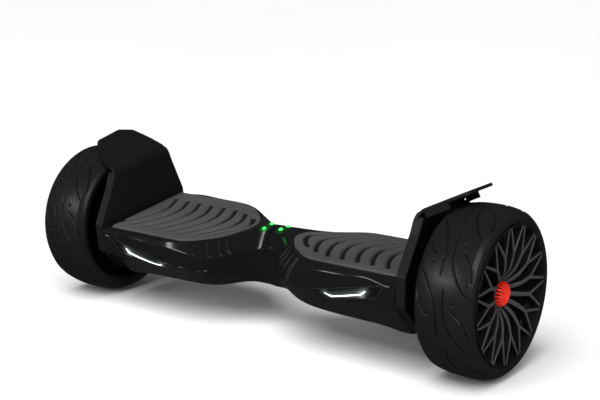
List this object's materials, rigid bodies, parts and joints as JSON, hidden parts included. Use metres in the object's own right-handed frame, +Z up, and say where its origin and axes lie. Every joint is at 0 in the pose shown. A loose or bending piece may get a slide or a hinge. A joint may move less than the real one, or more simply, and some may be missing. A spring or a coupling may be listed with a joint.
{
  "type": "self balancing hoverboard",
  "caption": "Two-wheel self balancing board: two hinged casing halves with foot pads, hub motor wheels, fenders and headlights.",
  "frame": {"origin": "on the ground, midway between the two wheels, below the axle line", "axes": "+X along the wheel axis towards the right wheel, -Y is the front, +Z up"},
  "size_m": [0.712, 0.216, 0.2395],
  "materials": {
    "gloss_shell": "high gloss moulded",
    "satin_shell": "semi-gloss moulded",
    "smoked_lens": "smoked, polished",
    "white_light": "diffusing, lit",
    "status_window": "polished",
    "green_light": "diffusing, lit",
    "cast_frame": "as cast",
    "motor_core": "laminated, with varnished windings",
    "axle_steel": "ground",
    "dark_screws": "black oxide",
    "fender_plastic": "fine matt texture",
    "seal_rubber": "moulded",
    "circuit_board": "solder mask",
    "tyre_rubber": "satin moulded",
    "rim_alloy": "black anodised",
    "bearing_steel": "polished",
    "trim_plastic": "dark grey satin",
    "red_cap": "semi-gloss",
    "pedal_alloy": "pressed",
    "pad_rubber": "satin moulded",
    "socket_plastic": "moulded",
    "bush_brass": "turned",
    "battery_case": "extruded housing",
    "button_plastic": "moulded"
  },
  "bodies": {
    "right_half": {"right_upper_shell": "gloss_shell", "right_lower_shell": "satin_shell", "right_headlight_lens": "smoked_lens", "right_light_bar": "white_light", "right_status_lens": "status_window", "right_status_lights": "green_light", "right_chassis": "cast_frame", "right_stator": "motor_core", "right_axle": "axle_steel", "right_axle_clamp": "cast_frame", "right_frame_bolts": "dark_screws", "right_fender": "fender_plastic", "right_axle_seal": "seal_rubber", "right_shell_screws": "dark_screws", "right_sensor_boards": "circuit_board", "pivot_tube": "axle_steel", "pivot_pin": "axle_steel", "pivot_ring": "bearing_steel", "main_board": "circuit_board", "charge_socket": "socket_plastic", "cap_pin": "axle_steel", "power_switch": "socket_plastic"},
    "left_half": {"left_upper_shell": "gloss_shell", "left_lower_shell": "satin_shell", "left_headlight_lens": "smoked_lens", "left_light_bar": "white_light", "left_status_lens": "status_window", "left_status_lights": "green_light", "left_chassis": "cast_frame", "left_stator": "motor_core", "left_axle": "axle_steel", "left_axle_clamp": "cast_frame", "left_frame_bolts": "dark_screws", "left_fender": "fender_plastic", "left_axle_seal": "seal_rubber", "left_shell_screws": "dark_screws", "left_sensor_boards": "circuit_board", "left_pivot_bushes": "bush_brass", "battery_pack": "battery_case"},
    "right_wheel": {"right_tyre": "tyre_rubber", "right_rim": "rim_alloy", "right_side_cover": "rim_alloy", "right_cover_screws": "dark_screws", "right_bearings": "bearing_steel", "right_wheel_trim": "trim_plastic", "right_hub_cap": "red_cap"},
    "left_wheel": {"left_tyre": "tyre_rubber", "left_rim": "rim_alloy", "left_side_cover": "rim_alloy", "left_cover_screws": "dark_screws", "left_bearings": "bearing_steel", "left_wheel_trim": "trim_plastic", "left_hub_cap": "red_cap"},
    "right_pedal": {"right_pedal_plate": "pedal_alloy", "right_foot_pad": "pad_rubber"},
    "left_pedal": {"left_pedal_plate": "pedal_alloy", "left_foot_pad": "pad_rubber"},
    "charge_cap": {"charge_cap": "seal_rubber"},
    "power_button": {"power_button": "button_plastic"}
  },
  "joints": [
    {"name": "halves_twist", "type": "hinge", "parent": "right_half", "child": "left_half", "pos_m": [0, 0, 0.108], "axis": [1, 0, 0], "range_deg": [-23, 7]},
    {"name": "right_wheel_spin", "type": "hinge", "parent": "right_half", "child": "right_wheel", "pos_m": [0, 0, 0.108], "axis": [1, 0, 0], "continuous": true},
    {"name": "left_wheel_spin", "type": "hinge", "parent": "left_half", "child": "left_wheel", "pos_m": [0, 0, 0.108], "axis": [1, 0, 0], "continuous": true},
    {"name": "right_pedal_press", "type": "slide", "parent": "right_half", "child": "right_pedal", "axis": [0, 0, -1], "range_m": [0, 0.0015], "stiffness_N_per_m": 30000},
    {"name": "left_pedal_press", "type": "slide", "parent": "left_half", "child": "left_pedal", "axis": [0, 0.1392, -0.9903], "range_m": [0, 0.0015], "stiffness_N_per_m": 30000},
    {"name": "power_button_press", "type": "slide", "parent": "right_half", "child": "power_button", "axis": [0, -1, 0], "range_m": [0, 0.001], "stiffness_N_per_m": 1500},
    {"name": "charge_cap_open", "type": "hinge", "parent": "right_half", "child": "charge_cap", "pos_m": [0.222, 0.093, 0.0956], "axis": [-1, 0, 0], "range_deg": [0, 120]}
  ]
}
